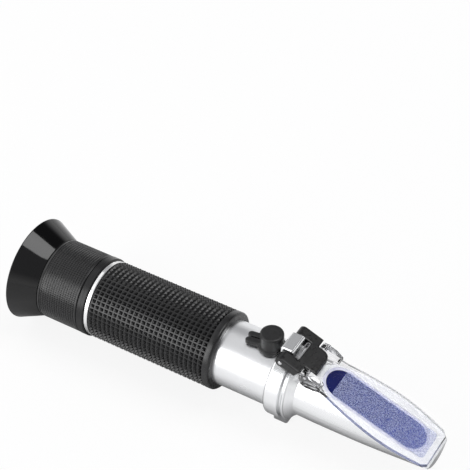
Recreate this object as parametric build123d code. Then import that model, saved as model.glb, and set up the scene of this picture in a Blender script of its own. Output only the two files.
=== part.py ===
from build123d import *
import math
import os

# Hand refractometer. Everything is modelled in millimetres about the optical axis:
# X runs forward to the prism tip, Z up, and X = 0 lies just in front of the collar's rear edge.
# The last section moves all pieces so that the origin is at the bottom centre.

# Gaps
seat = 0.05  # radial, between pieces that are fixed in one another
run = 0.06  # radial, of turning and sliding fits
face_gap = 0.10  # along the axis, between neighbouring faces
soft_gap = 0.30  # between the rubber cap or the cover and what they lie over
inner_gap = 0.12  # each side of the clamped root of the bimetal strip
cut_over = 5.0  # how far a cutter runs past what it cuts
far = 60.0  # reach of a cutter that has to pass through everything

# Barrel, trim ring and grip
barrel_r = 12.35
barrel_wall = 1.35
barrel_len = 80.8
trim_wall = 2.35
trim_len = 1.5
trim_edge = 0.2
grip_wall = 2.6
grip_len = 52.1
grip_band = 2.75  # smooth band at the front end
grip_pitch = 1.97
grip_groove = 0.85
grip_groove_depth = 0.45
grip_groove_slant = 0.1
grip_round = 0.7

# Focus movement
guide_step = 0.75  # how much the guide sleeve is larger than the barrel
guide_wall = 1.5
guide_len = 14.6
guide_spigot_len = 6.0
guide_spigot_wall = 1.15
flange_step = 0.1
flange_len = 3.1
flange_edge = 0.3
ring_wall = 2.14
ring_len = 17.4
ring_knurl_band = 15.8
ring_knurl_pitch = 1.05
ring_knurl_depth = 0.25
ring_knurl_start = 0.4  # of a pitch
ring_lip = 1.2
ring_chamfer = 0.4
keeper_flange = 1.0
keeper_wall = 0.95
keeper_rim = 0.16  # between the keeper's flange and the ring's bore
keeper_spigot_len = 3.6
focus_travel = 2.5
focus_angle = 150.0
drive_pin_r = 1.0
drive_pin_root = 0.45
drive_pin_sink = 0.05
slot_gap = 0.10
thread_gap = 0.20
thread_depth = 1.15
thread_tip_gap = 0.25
thread_over = 12.0  # degrees that the groove runs past each end of the travel

# Eyecup
cup_mouth_r = 20.0
cup_neck_step = 0.1
cup_len = 10.5
cup_wall = 1.3
cup_lip = 0.4
cup_neck_wall = 1.1
cup_seat_wall = 1.1
cup_seat_len = 3.2
cup_seat_gap = 0.2
cup_bead = 0.3
cup_bead_len = 0.8

# Ocular
cell_len = 8.0
cell_tail = 8.9
cell_wall = 2.04
cell_lip = 1.2
cell_lip_h = 1.5
cell_tail_gap = 0.10
cell_front_gap = 1.0  # left in front of the cell when it is fully forward
cell_step_in = 1.3  # from the barrel's rear end to the step in the focus collar's bore
lens_rim = 1.0  # flat border round each curved lens face
eye_lens_edge = 1.6
eye_lens_bulge = 1.2
field_lens_edge = 1.4
field_lens_bulge = 1.8
spacer_wall = 0.9
lens_nut_len = 1.4
lens_nut_wall = 1.25

# Reticle
reticle_at = 4.3  # from the front of the focus collar's spigot to the rear of the mount
reticle_mount_len = 6.0
reticle_mount_wall = 1.45
reticle_mount_lip = 1.0
reticle_thick = 1.5
reticle_rim = 1.85
reticle_nut_len = 1.8

# Light baffle
baffle_at = 26.3  # from the barrel's rear end
baffle_len = 2.0
baffle_r = 6.4
baffle_flare = 0.6

# Bimetal strip and objective
bimetal_mount_len = 4.0
bimetal_mount_wall = 2.55
strip_thick = 0.7
strip_w = 6.0
strip_root = 3.6
strip_reach = 28.9  # from the mount to the calibration screw
strip_past = 2.5  # past the calibration screw
strip_corner = 0.6
strip_screw_r = 0.7
strip_screw_head_r = 1.2
strip_screw_head = 0.9
strip_screw_y = 1.6
strip_screw_depth = 1.2
objective_at = 19.0  # from the strip's hinge line to the rear of the cell
objective_cell_len = 6.0
objective_cell_drop = 2.9  # from the barrel's bore to the cell
objective_wall = 1.0
objective_lip = 1.0
objective_rim = 0.85
objective_lens_edge = 1.8
objective_lens_bulge = 0.9
objective_nut_len = 1.5
stud_r = 0.6
stud_y = 1.7
stud_len = 1.0
saddle_w = 5.6
saddle_h = 0.15
saddle_inset = 0.5
saddle_gap = 0.02

# Calibration screw, bush and cap
cal_x = -5.1
bush_r = 2.6
bush_in = 1.0  # how far it stands into the barrel
bush_out = 1.65
bush_edge = 0.3
screw_r = 1.2
screw_tip = 0.2  # below the bush
screw_sink = 0.6  # below the bush's top
screw_slot = 0.5
screw_slot_depth = 0.7
cap_r = 4.35
cap_height = 6.85
cap_round = 0.8
cap_flange_r = 5.1
cap_flange = 1.0
cap_flange_edge = 0.3
cap_recess_gap = 0.15
cap_recess_room = 0.9
tab_reach = 9.4
tab_turn = 9.0
tab_lobe_w = 2.5
tab_slit = 0.4
tab_height = 2.0
tab_round = 0.5

# Collar, lug and foot
collar_rear = -1.0
collar_len = 6.0
collar_wall = 2.0
collar_round = 1.4
collar_edge = 0.2
barrel_in_collar = 5.5
lug_behind = 2.5  # from the hinge pin to the rear of the lug
lug_ahead = 2.7
lug_above = 2.6
lug_w = 8.7
lug_round = 1.0
lug_edge = 0.3
lug_neck_gap = 0.5
foot_x0 = -1.8
foot_x1 = 3.9
foot_w = 8.0
foot_round = 0.8
collar_screw_r = 1.0
collar_screw_angle = 130.0
collar_screw_x = 2.0
collar_screw_sink = 0.2
key_r = 0.5
key_depth = 0.8
key_sides = 6

# Prism housing
neck_gap = 0.05
neck_len = 1.2
neck_step = 1.5  # how much the neck is smaller than the collar
bead_len = 1.0
bead_step = 0.4
bead_round = 0.35
cone_step = 0.7
cone_len = 2.6
head_step = 1.33  # how much the head is smaller than the barrel
head_mid_x = 33.0
head_rear_step = 0.12
head_tip_x = 61.3
head_tip_step = 1.1
head_edge = 0.5
head_spigot_len = 6.0
head_spigot_wall = 1.95
face_start_x = 13.256
face_slope = 0.352

# Prism and its seal, on the slanted face
window_s = 3.89  # along the face, from head_mid_x
window_half = 14.58
window_r = 5.86
prism_gap = 0.12
prism_low = -6.6
prism_rear = 16.5
prism_rear_gap = 0.1
seal_w = 1.19
seal_depth = 1.5
seal_gap = 0.02
bed_thick = 0.7
shield_wall = 0.6
shield_at = 1.5
shield_len = 15.0

# Hinge: pin, bracket, leaf spring and plate pivots
pin_x = 3.2
pin_above = 2.3  # above the collar
pin_r = 0.8
pin_stand_out = 0.2
pin_edge = 0.15
arm_in = 4.6
arm_out = 9.1
arm_round = 2.0
arm_lead = (0.7, 1.9)  # from the hinge pin, as are the next two
arm_front_top = (7.7, -0.85)
arm_front_low = (5.5, -3.8)
arm_heel = (0.2, 0.05)
web_at = 5.1
web_lift = 0.15
tongue_len = 12.2
tongue_half = 5.4
tongue_thick = 1.6
tongue_near_round = 0.8
tongue_far_round = 2.5
tongue_fillet = (0.3, 0.1)
pivot_at = (9.6, -2.9)  # from the hinge pin
knuckle_r = 1.35
pivot_r = 0.55
pivot_in = 2.2  # how far each pivot pin sits in the tongue
pivot_sink = 0.1  # below the ear's side
spring_thick = 0.35
spring_at = 3.65  # from the hinge pin to its rear leg
spring_low = 2.2  # below the hinge pin
spring_w = 2.4
spring_end_y = -4.2
spring_gap = 0.05
spring_side_gap = 0.25

# Daylight plate and diffuser
plate_low = 0.1  # underside above the slanted face
plate_top = 1.5
plate_nose_x = 60.6
plate_nose_half = 8.4
plate_corner = 1.0
plate_slot_gap = 0.5  # from the tongue's end to the plate
plate_slot_side = 0.15
plate_outline = (
    (16.8, 8.75),
    (19.0, 8.3),
    (24.0, 9.0),
    (33.0, 10.35),
    (38.0, 10.85),
    (47.0, 10.8),
    (55.0, 9.7),
    (61.2, 8.4),
)  # place of the top edge along the axis and half-width
ear_side_gap = 0.2
ear_w = 3.2
ear_clear = 0.43  # from the ears to the prism housing
ear_outline = (
    (-2.25, -1.2),
    (-2.25, 0.4),
    (-1.5, 1.25),
    (0.4, 1.25),
    (3.6, -0.2),
    (6.0, -2.2),
    (6.0, -3.9),
    (3.8, -4.4),
    (0.0, -4.45),
    (-1.6, -3.4),
)  # from the plate pivot
pad_low = 0.3  # underside above the slanted face
pad_top = 0.7
pad_gap = 0.1  # round the pad, in its pocket in the plate
pad_rear_x = 21.9
pad_front_x = 58.0
pad_half = 6.3
pad_round = 1.5

# Derived radii and heights
barrel_bore_r = barrel_r - barrel_wall
sleeve_bore_r = barrel_r + seat
trim_r = sleeve_bore_r + trim_wall
grip_r = sleeve_bore_r + grip_wall
spigot_r = barrel_bore_r - seat
guide_r = barrel_r + guide_step
guide_bore_r = guide_r - guide_wall
guide_spigot_bore_r = spigot_r - guide_spigot_wall
ring_bore_r = guide_r + run
ring_r = ring_bore_r + ring_wall
flange_r = ring_r + flange_step
cup_neck_r = ring_r - cup_neck_step
cup_seat_r = cup_neck_r - cup_neck_wall
keeper_bore_r = guide_bore_r - seat - keeper_wall
ring_rear_bore_r = cup_seat_r - cup_seat_wall
keeper_r = ring_rear_bore_r - keeper_rim
cell_r = guide_bore_r - run
cell_tail_r = keeper_bore_r - cell_tail_gap
cell_bore_r = cell_r - cell_wall
cell_lip_r = cell_bore_r - cell_lip_h
ocular_lens_r = cell_bore_r - seat
reticle_bore_r = spigot_r - reticle_mount_wall
reticle_r = reticle_bore_r - seat
reticle_view_r = reticle_r - reticle_rim
bimetal_mount_bore_r = spigot_r - bimetal_mount_wall
objective_cell_r = spigot_r - objective_cell_drop
objective_bore_r = objective_cell_r - objective_wall
objective_view_r = objective_bore_r - objective_rim
strip_z = objective_cell_r + saddle_h
bush_low = barrel_bore_r - bush_in
bush_top = barrel_r + bush_out
screw_low = bush_low - screw_tip
screw_top = bush_top - screw_sink
cap_top = barrel_r + cap_height
cap_recess_top = bush_top + cap_recess_room
collar_r = sleeve_bore_r + collar_wall
neck_r = collar_r - neck_step
head_r = barrel_r - head_step
bead_r = collar_r - bead_step
cone_r0 = bead_r - cone_step
cone_r1 = head_r - head_rear_step
head_tip_r = head_r - head_tip_step
head_bore_r = spigot_r - head_spigot_wall
pin_z = collar_r + pin_above
lug_top = pin_z + lug_above
pivot_z = pin_z + pivot_at[1]
foot_low = -cup_mouth_r

# Derived places along the axis
collar_front = collar_rear + collar_len
barrel_front = collar_rear + barrel_in_collar
barrel_rear = barrel_front - barrel_len
trim_front = barrel_rear + trim_len
grip_front = trim_front + grip_len
flange_rear = barrel_rear - flange_len
guide_rear = flange_rear - guide_len
spigot_front = barrel_rear + guide_spigot_len
ring_front = flange_rear - face_gap
ring_rear = ring_front - ring_len
lip_front = guide_rear - face_gap
lip_rear = lip_front - ring_lip
keeper_front = lip_rear - face_gap
cup_front = ring_rear - face_gap
cup_mouth = cup_front - cup_len
cup_slope = (cup_mouth_r - cup_neck_r) / cup_len
cup_seat_rear = ring_rear - cup_seat_len + cup_seat_gap
cup_bead_x = cup_seat_rear + cup_bead_len
bore_step = barrel_rear - cell_step_in
cell_front = bore_step - cell_front_gap - focus_travel
cell_rear = cell_front - cell_len
tail_rear = cell_rear - cell_tail
drive_x = cell_front - cell_len / 2
reticle_rear = spigot_front + reticle_at
reticle_front = reticle_rear + reticle_mount_len
bimetal_front = cal_x - strip_reach
bimetal_rear = bimetal_front - bimetal_mount_len
bimetal_screw_x = (bimetal_rear + bimetal_front) / 2
objective_rear = bimetal_front + objective_at
objective_front = objective_rear + objective_cell_len
neck_x0 = collar_front + neck_gap
neck_x1 = collar_front + neck_len
bead_x1 = neck_x1 + bead_len
cone_x1 = bead_x1 + cone_len
pocket_rear = prism_rear - prism_rear_gap
lug_x0 = pin_x - lug_behind
lug_x1 = pin_x + lug_ahead
web_x = pin_x + web_at
tongue_x = pin_x + tongue_len
pivot_x = pin_x + pivot_at[0]
plate_slot_x = tongue_x + plate_slot_gap
ear_in = tongue_half + ear_side_gap
ear_out = ear_in + ear_w
face_z = head_r - face_slope * (head_mid_x - face_start_x)

# The slanted face as a plane: X runs down the slope, its normal points out of the face
face_angle = math.atan(face_slope)
face_cos = math.cos(face_angle)
face_plane = Plane(
    origin=(head_mid_x, 0, face_z),
    x_dir=(face_cos, 0, -math.sin(face_angle)),
    z_dir=(math.sin(face_angle), 0, face_cos),
)


def along_face(x):
    """Distance along the slanted face that belongs to a place on the optical axis."""
    return (x - head_mid_x) / face_cos


def turned(*points):
    """Body of revolution about the optical axis from (x, radius) points."""
    return revolve(make_face(Polyline(*points, close=True)), Axis.X)


def tube(x0, x1, outer, inner):
    """Plain tube about the optical axis."""
    return turned((x0, inner), (x0, outer), (x1, outer), (x1, inner))


def rod(x0, x1, radius):
    """Plain rod about the optical axis."""
    return turned((x0, 0), (x0, radius), (x1, radius), (x1, 0))


def block(x0, x1, y0, y1, z0, z1):
    """Box between two corners."""
    middle = ((x0 + x1) / 2, (y0 + y1) / 2, (z0 + z1) / 2)
    return Pos(*middle) * Box(x1 - x0, y1 - y0, z1 - z0)


def upright(x, y, radius, z0, z1):
    """Rod along Z."""
    return Pos(x, y, (z0 + z1) / 2) * Cylinder(radius, z1 - z0)


def crosswise(x, z, radius, y0, y1):
    """Rod along Y."""
    return Pos(x, (y0 + y1) / 2, z) * Rot(90, 0, 0) * Cylinder(radius, y1 - y0)


def side_profile(points, y0, y1):
    """Prism with an outline of (x, z) points, between two places across the width."""
    outline = [(x, y0, z) for x, z in points]
    return extrude(make_face(Polyline(*outline, close=True)), y1 - y0, dir=(0, 1, 0))


def lens(middle, radius, edge, rear_bulge, front_bulge):
    """Lens about the optical axis; a bulge of zero leaves that side flat."""
    rear = middle - edge / 2
    front = middle + edge / 2
    clear = radius - lens_rim
    lines = [Line((rear, radius), (front, radius))]
    for x, bulge in ((rear, -rear_bulge), (front, front_bulge)):
        if bulge == 0:
            lines.append(Line((x, radius), (x, 0)))
            continue
        sphere = (clear**2 + bulge**2) / (2 * abs(bulge))
        half = sphere - math.sqrt(sphere**2 - (clear / 2) ** 2)
        inward = math.copysign(abs(bulge) - half, bulge)
        lines.append(Line((x, radius), (x, clear)))
        lines.append(ThreePointArc((x, clear), (x + inward, clear / 2), (x + bulge, 0)))
    lines.append(Line((rear - rear_bulge, 0), (front + front_bulge, 0)))
    return revolve(make_face(lines), Axis.X)


def window_column(radius, top, bottom):
    """Stadium on the slanted face, raised to top and sunk to bottom along the face's normal."""
    outline = Pos(window_s, 0) * SlotCenterToCenter(2 * window_half, 2 * radius)
    return extrude(face_plane.offset(bottom) * outline, top - bottom)


# Barrel, trim ring and grip


def make_barrel_tube():
    shell = tube(barrel_rear, barrel_front, barrel_r, barrel_bore_r)
    return shell - upright(cal_x, 0, bush_r + seat, 0, barrel_r + cut_over)


def make_trim_ring():
    return turned(
        (barrel_rear, sleeve_bore_r),
        (barrel_rear, trim_r - trim_edge),
        (barrel_rear + trim_edge, trim_r),
        (trim_front - trim_edge, trim_r),
        (trim_front, trim_r - trim_edge),
        (trim_front, sleeve_bore_r),
    )


def make_grip_sleeve():
    rear = trim_front + seat
    count = int((grip_front - grip_band - rear) / grip_pitch)
    floor = grip_r - grip_groove_depth
    points = [(rear, sleeve_bore_r), (rear, grip_r)]
    for index in range(count):
        start = rear + grip_pitch * (index + 1) - grip_groove
        end = start + grip_groove
        points.append((start, grip_r))
        points.append((start + grip_groove_slant, floor))
        points.append((end - grip_groove_slant, floor))
        points.append((end, grip_r))
    points.append((grip_front - grip_round, grip_r))
    points.append((grip_front - grip_round / 3, grip_r - grip_round / 3))
    points.append((grip_front, grip_r - grip_round))
    points.append((grip_front, sleeve_bore_r))
    return turned(*points)


# Focus movement


def make_focus_collar():
    body = turned(
        (guide_rear, guide_bore_r),
        (guide_rear, guide_r - flange_edge),
        (guide_rear + flange_edge, guide_r),
        (flange_rear, guide_r),
        (flange_rear, flange_r - flange_edge),
        (flange_rear + flange_edge, flange_r),
        (barrel_rear - flange_edge, flange_r),
        (barrel_rear, flange_r - flange_edge),
        (barrel_rear, spigot_r),
        (spigot_front, spigot_r),
        (spigot_front, guide_spigot_bore_r),
        (bore_step, guide_spigot_bore_r),
        (bore_step, guide_bore_r),
    )
    half = drive_pin_r + slot_gap
    reach = focus_travel + slot_gap
    top = guide_r + cut_over
    slot = block(drive_x - reach, drive_x + reach, -half, half, 0, top)
    for end in (drive_x - reach, drive_x + reach):
        slot += upright(end, 0, half, 0, top)
    return body - slot


def make_focus_keeper():
    inner_r = guide_bore_r - seat
    return turned(
        (keeper_front - keeper_flange, keeper_bore_r),
        (keeper_front - keeper_flange, keeper_r),
        (keeper_front, keeper_r),
        (keeper_front, inner_r),
        (keeper_front + keeper_spigot_len, inner_r),
        (keeper_front + keeper_spigot_len, keeper_bore_r),
    )


def make_focus_ring():
    points = [
        (ring_front, ring_bore_r),
        (ring_front, ring_r - ring_chamfer),
        (ring_front - ring_chamfer, ring_r),
    ]
    count = int(ring_knurl_band / ring_knurl_pitch)
    for index in range(count):
        start = ring_front - ring_chamfer - ring_knurl_pitch * (index + ring_knurl_start)
        points.append((start, ring_r))
        points.append((start - ring_knurl_pitch / 4, ring_r - ring_knurl_depth))
        points.append((start - ring_knurl_pitch / 2, ring_r))
    points += [
        (ring_rear + ring_chamfer, ring_r),
        (ring_rear, ring_r - ring_chamfer),
        (ring_rear, cup_seat_r),
        (cup_bead_x + cup_bead_len, cup_seat_r),
        (cup_bead_x + cup_bead_len / 2, cup_seat_r + cup_bead),
        (cup_bead_x, cup_seat_r),
        (cup_seat_rear, cup_seat_r),
        (cup_seat_rear, ring_rear_bore_r),
        (lip_rear, ring_rear_bore_r),
        (lip_rear, guide_bore_r + run),
        (lip_front, guide_bore_r + run),
        (lip_front, ring_bore_r),
    ]
    return turned(*points) - focus_groove()


def focus_groove():
    """Helical groove that carries the drive pin along as the focus ring turns."""
    pitch = focus_travel * 360 / focus_angle
    half_turn = focus_angle + thread_over
    length = 2 * half_turn / 360 * pitch
    path = Helix(pitch, length, ring_bore_r + thread_depth / 2)
    width = 2 * (drive_pin_r + thread_gap)
    start = Plane(origin=path @ 0, x_dir=(1, 0, 0), z_dir=path % 0)
    depth = thread_depth + guide_step
    groove = sweep(start * Rectangle(depth, width), path, is_frenet=True)
    groove = Rot(0, 90, 0) * Pos(0, 0, -length / 2) * groove
    # Half way along, the groove stands at the top, where the drive pin is
    return Pos(drive_x, 0, 0) * Rot(180 - half_turn, 0, 0) * groove


def make_eyecup():
    inner_r = cup_seat_r + seat
    shoulder = cup_front - cup_seat_len
    outer_at_shoulder = cup_neck_r + cup_slope * cup_seat_len
    slant = cup_wall * math.sqrt(1 + cup_slope**2)
    return turned(
        (cup_front, inner_r),
        (cup_front, cup_neck_r),
        (cup_mouth + cup_lip, cup_mouth_r - cup_slope * cup_lip),
        (cup_mouth, cup_mouth_r),
        (cup_mouth, cup_mouth_r - 2 * cup_lip),
        (cup_mouth + cup_lip, cup_mouth_r - slant - cup_slope * cup_lip),
        (shoulder, outer_at_shoulder - slant),
        (shoulder, inner_r),
        (cup_bead_x - seat, inner_r),
        (cup_bead_x + cup_bead_len / 2, inner_r + cup_bead),
        (cup_bead_x + cup_bead_len + seat, inner_r),
    )


# Ocular, which the drive pin moves along the axis


def make_ocular_cell():
    body = turned(
        (tail_rear, cell_lip_r),
        (tail_rear, cell_tail_r),
        (cell_rear, cell_tail_r),
        (cell_rear, cell_r),
        (cell_front, cell_r),
        (cell_front, cell_bore_r),
        (tail_rear + cell_lip, cell_bore_r),
        (tail_rear + cell_lip, cell_lip_r),
    )
    low = cell_bore_r + drive_pin_root - drive_pin_sink
    return body - upright(drive_x, 0, drive_pin_r + seat, low, cell_r + cut_over)


def make_drive_pin():
    top = ring_bore_r + thread_depth - thread_tip_gap
    return upright(drive_x, 0, drive_pin_r, cell_bore_r + drive_pin_root, top)


def eye_lens_middle():
    return tail_rear + cell_lip + seat + eye_lens_edge / 2


def field_lens_middle():
    return cell_front - lens_nut_len - seat - field_lens_edge / 2


def make_eye_lens():
    bulge = eye_lens_bulge
    return lens(eye_lens_middle(), ocular_lens_r, eye_lens_edge, 0, bulge)


def make_field_lens():
    bulge = field_lens_bulge
    return lens(field_lens_middle(), ocular_lens_r, field_lens_edge, bulge, 0)


def make_lens_spacer():
    x0 = eye_lens_middle() + eye_lens_edge / 2 + seat
    x1 = field_lens_middle() - field_lens_edge / 2 - seat
    return tube(x0, x1, ocular_lens_r, ocular_lens_r - spacer_wall)


def make_ocular_nut():
    bore = ocular_lens_r - lens_nut_wall
    return tube(cell_front - lens_nut_len, cell_front, ocular_lens_r, bore)


# Reticle and light baffle


def make_reticle_mount():
    lip = reticle_front - reticle_mount_lip
    return turned(
        (reticle_rear, reticle_bore_r),
        (reticle_rear, spigot_r),
        (reticle_front, spigot_r),
        (reticle_front, reticle_view_r),
        (lip, reticle_view_r),
        (lip, reticle_bore_r),
    )


def make_reticle_glass():
    front = reticle_front - reticle_mount_lip - seat
    return rod(front - reticle_thick, front, reticle_r)


def make_reticle_nut():
    front = reticle_front - reticle_mount_lip - reticle_thick - 2 * seat
    return tube(front - reticle_nut_len, front, reticle_r, reticle_view_r)


def make_light_baffle():
    x0 = barrel_rear + baffle_at
    x1 = x0 + baffle_len
    return turned((x0, baffle_r + baffle_flare), (x0, spigot_r), (x1, spigot_r), (x1, baffle_r))


# Bimetal strip and objective


def screw_rows():
    return (-strip_screw_y, strip_screw_y)


def make_bimetal_mount():
    ring = tube(bimetal_rear, bimetal_front, spigot_r, bimetal_mount_bore_r)
    half = strip_w / 2 + inner_gap
    top = strip_z + strip_thick + inner_gap
    rear = bimetal_rear - cut_over
    ring -= block(rear, bimetal_front + cut_over, -half, half, 0, top)
    for y in screw_rows():
        ring -= upright(bimetal_screw_x, y, strip_screw_r + seat, 0, top + strip_screw_depth)
    return ring


def make_bimetal_screws():
    x = bimetal_screw_x
    top = strip_z + strip_thick + inner_gap + strip_screw_depth - seat
    head = strip_z - inner_gap
    screws = []
    for y in screw_rows():
        shank = upright(x, y, strip_screw_r, head, top)
        screws.append(shank + upright(x, y, strip_screw_head_r, head - strip_screw_head, head))
    return Compound(screws)


def make_bimetal_strip():
    x0 = bimetal_front - strip_root
    x1 = cal_x + strip_past
    strip = block(x0, x1, -strip_w / 2, strip_w / 2, strip_z, strip_z + strip_thick)
    strip = fillet(strip.edges().filter_by(Axis.Z), strip_corner)
    top = strip_z + cut_over
    for y in screw_rows():
        strip -= upright(bimetal_screw_x, y, strip_screw_r + 2 * inner_gap, 0, top)
    centre = objective_rear + objective_cell_len / 2
    for y in (-stud_y, stud_y):
        strip -= upright(centre, y, stud_r + seat, 0, top)
    return strip


def make_objective_cell():
    lip = objective_front - objective_lip
    body = turned(
        (objective_rear, objective_bore_r),
        (objective_rear, objective_cell_r),
        (objective_front, objective_cell_r),
        (objective_front, objective_view_r),
        (lip, objective_view_r),
        (lip, objective_bore_r),
    )
    centre = objective_rear + objective_cell_len / 2
    x0 = objective_rear + saddle_inset
    x1 = objective_front - saddle_inset
    half = saddle_w / 2
    low = (objective_bore_r + objective_cell_r) / 2
    body += block(x0, x1, -half, half, low, strip_z - saddle_gap)
    for y in (-stud_y, stud_y):
        body += upright(centre, y, stud_r, low, strip_z + stud_len)
    return body - rod(objective_rear, lip, objective_bore_r)


def make_objective_lens():
    front = objective_front - objective_lip - seat
    bulge = objective_lens_bulge
    middle = front - objective_lens_edge / 2
    return lens(middle, objective_bore_r - seat, objective_lens_edge, bulge, bulge)


def make_objective_nut():
    front = objective_front - objective_lip - objective_lens_edge - 2 * seat
    outer = objective_bore_r - seat
    return tube(front - objective_nut_len, front, outer, objective_view_r)


# Calibration screw, bush and cap


def make_calibration_bush():
    body = upright(cal_x, 0, bush_r, bush_low, bush_top)
    body = chamfer(body.edges().group_by(Axis.Z)[-1], bush_edge)
    return body - upright(cal_x, 0, screw_r + run, 0, bush_top + cut_over)


def make_calibration_screw():
    body = upright(cal_x, 0, screw_r, screw_low, screw_top)
    reach = screw_r + cut_over
    half = screw_slot / 2
    floor = screw_top - screw_slot_depth
    return body - block(cal_x - reach, cal_x + reach, -half, half, floor, screw_top + cut_over)


def make_calibration_cap():
    base = barrel_r + soft_gap
    body = upright(cal_x, 0, cap_r, 0, cap_top)
    body = fillet(body.edges().group_by(Axis.Z)[-1], cap_round)
    flange = upright(cal_x, 0, cap_flange_r, 0, base + cap_flange)
    body += chamfer(flange.edges().group_by(Axis.Z)[-1], cap_flange_edge)
    step = (tab_lobe_w + tab_slit) / 2
    end = cal_x - tab_reach + tab_lobe_w / 2
    top = base + tab_height
    about = Pos(cal_x, 0, 0) * Rot(0, 0, tab_turn) * Pos(-cal_x, 0, 0)
    for y in (-step, step):
        lobe = block(end, cal_x, y - tab_lobe_w / 2, y + tab_lobe_w / 2, base, top)
        lobe += upright(end, y, tab_lobe_w / 2, base, top)
        lobe = fillet(lobe.edges().group_by(Axis.Z)[-1].group_by(Axis.X)[0], tab_round)
        body += about * lobe
    # The underside follows the barrel, and the front keeps clear of the collar
    body -= rod(cal_x - far, cal_x + far, base)
    body -= upright(cal_x, 0, bush_r + cap_recess_gap, 0, cap_recess_top)
    return body - rod(collar_rear - soft_gap, collar_front, collar_r + soft_gap)


# Collar, with the hinge lug on top and the foot below


def make_hinge_collar():
    lip_bore = spigot_r + seat
    step = barrel_front + seat
    outline = [
        Line((collar_rear, sleeve_bore_r), (collar_rear, collar_r - collar_round)),
        RadiusArc(
            (collar_rear, collar_r - collar_round),
            (collar_rear + collar_round, collar_r),
            collar_round,
        ),
        Polyline(
            (collar_rear + collar_round, collar_r),
            (collar_front - collar_edge, collar_r),
            (collar_front, collar_r - collar_edge),
            (collar_front, lip_bore),
            (step, lip_bore),
            (step, sleeve_bore_r),
            (collar_rear, sleeve_bore_r),
        ),
    ]
    body = revolve(make_face(outline), Axis.X)
    half = lug_w / 2
    lug = block(lug_x0, lug_x1, -half, half, 0, lug_top)
    top = lug.edges().group_by(Axis.Z)[-1]
    lug = fillet(top.filter_by(Axis.Y), lug_round)
    lug = chamfer(lug.faces().sort_by(Axis.Z)[-1].edges().filter_by(Axis.X), lug_edge)
    lug -= rod(collar_front, lug_x1 + cut_over, neck_r + lug_neck_gap)
    foot = block(foot_x0, foot_x1, -foot_w / 2, foot_w / 2, foot_low, 0)
    foot = fillet(foot.edges().filter_by(Axis.Z), foot_round)
    body = body + lug + foot
    body -= rod(foot_x0 - cut_over, step, sleeve_bore_r)
    body -= rod(barrel_front, collar_front + cut_over, lip_bore)
    for drill in collar_screw_places():
        body -= drill * upright(0, 0, collar_screw_r + seat, 0, collar_r + cut_over)
    reach = half + cut_over
    return body - crosswise(pin_x, pin_z, pin_r + seat / 2, -reach, reach)


def collar_screw_places():
    """Local Z runs outward through each collar screw."""
    angles = (-collar_screw_angle, collar_screw_angle)
    return [Pos(collar_screw_x, 0, 0) * Rot(angle, 0, 0) for angle in angles]


def make_collar_screws():
    high = collar_r - collar_screw_sink
    screws = []
    for drill in collar_screw_places():
        body = upright(0, 0, collar_screw_r, sleeve_bore_r, high)
        socket = Pos(0, 0, high - key_depth) * RegularPolygon(key_r, key_sides)
        screws.append(drill * (body - extrude(socket, key_depth + cut_over)))
    return Compound(screws)


def make_hinge_pin():
    end = arm_out + pin_stand_out
    pin = crosswise(pin_x, pin_z, pin_r, -end, end)
    return chamfer(pin.edges(), pin_edge)


# Prism housing and what sits in it


def make_prism_housing():
    spigot_rear = neck_x0 - head_spigot_len
    arc_end = head_tip_x - head_edge
    outline = [
        Polyline(
            (spigot_rear, head_bore_r),
            (spigot_rear, spigot_r),
            (neck_x0, spigot_r),
            (neck_x0, neck_r),
            (neck_x1, neck_r),
            (neck_x1, bead_r - bead_round),
            (neck_x1 + bead_round, bead_r),
            (bead_x1 - bead_round, bead_r),
            (bead_x1, bead_r - bead_round),
            (bead_x1, cone_r0),
            (cone_x1, cone_r1),
        ),
        ThreePointArc((cone_x1, cone_r1), (head_mid_x, head_r), (arc_end, head_tip_r)),
        Polyline(
            (arc_end, head_tip_r),
            (head_tip_x, head_tip_r - head_edge),
            (head_tip_x, 0),
            (pocket_rear, 0),
            (pocket_rear, head_bore_r),
            (spigot_rear, head_bore_r),
        ),
    ]
    body = revolve(make_face(outline), Axis.X)
    body -= face_plane.location * block(-far, far, -far, far, 0, far)
    body -= window_column(window_r + seal_w, cut_over, -seal_depth)
    floor = prism_low - bed_thick - 2 * seat
    pocket = window_column(window_r + prism_gap, cut_over, -far)
    return body - (pocket & block(pocket_rear, head_tip_x, -far, far, floor, far))


def make_prism():
    column = window_column(window_r, 0, -far)
    return column & block(prism_rear, head_tip_x, -far, far, prism_low, far)


def make_prism_seal():
    outer = window_column(window_r + seal_w - seat, -seal_gap, -seal_depth + seat)
    return outer - window_column(window_r + seal_gap, cut_over, -far)


def make_prism_bed():
    column = window_column(window_r, 0, -far)
    top = prism_low - seat
    return column & block(prism_rear, head_tip_x, -far, far, top - bed_thick, top)


def make_light_shield():
    outer = head_bore_r - seat
    x0 = collar_rear + shield_at
    return tube(x0, x0 + shield_len, outer, outer - shield_wall)


# Cover hinge


def from_pin(offset):
    return (pin_x + offset[0], pin_z + offset[1])


def arm_profile():
    """Outline of an arm, without its round end about the hinge pin."""
    heel_x, heel_z = arm_heel
    return [
        from_pin((heel_x, arm_round)),
        from_pin(arm_lead),
        from_pin(arm_front_top),
        from_pin(arm_front_low),
        from_pin((0, heel_z - arm_round)),
    ]


def both_sides(inner, outer):
    """The near and the far stretch across the width, each from low to high."""
    return [(-outer, -inner), (inner, outer)]


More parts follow.
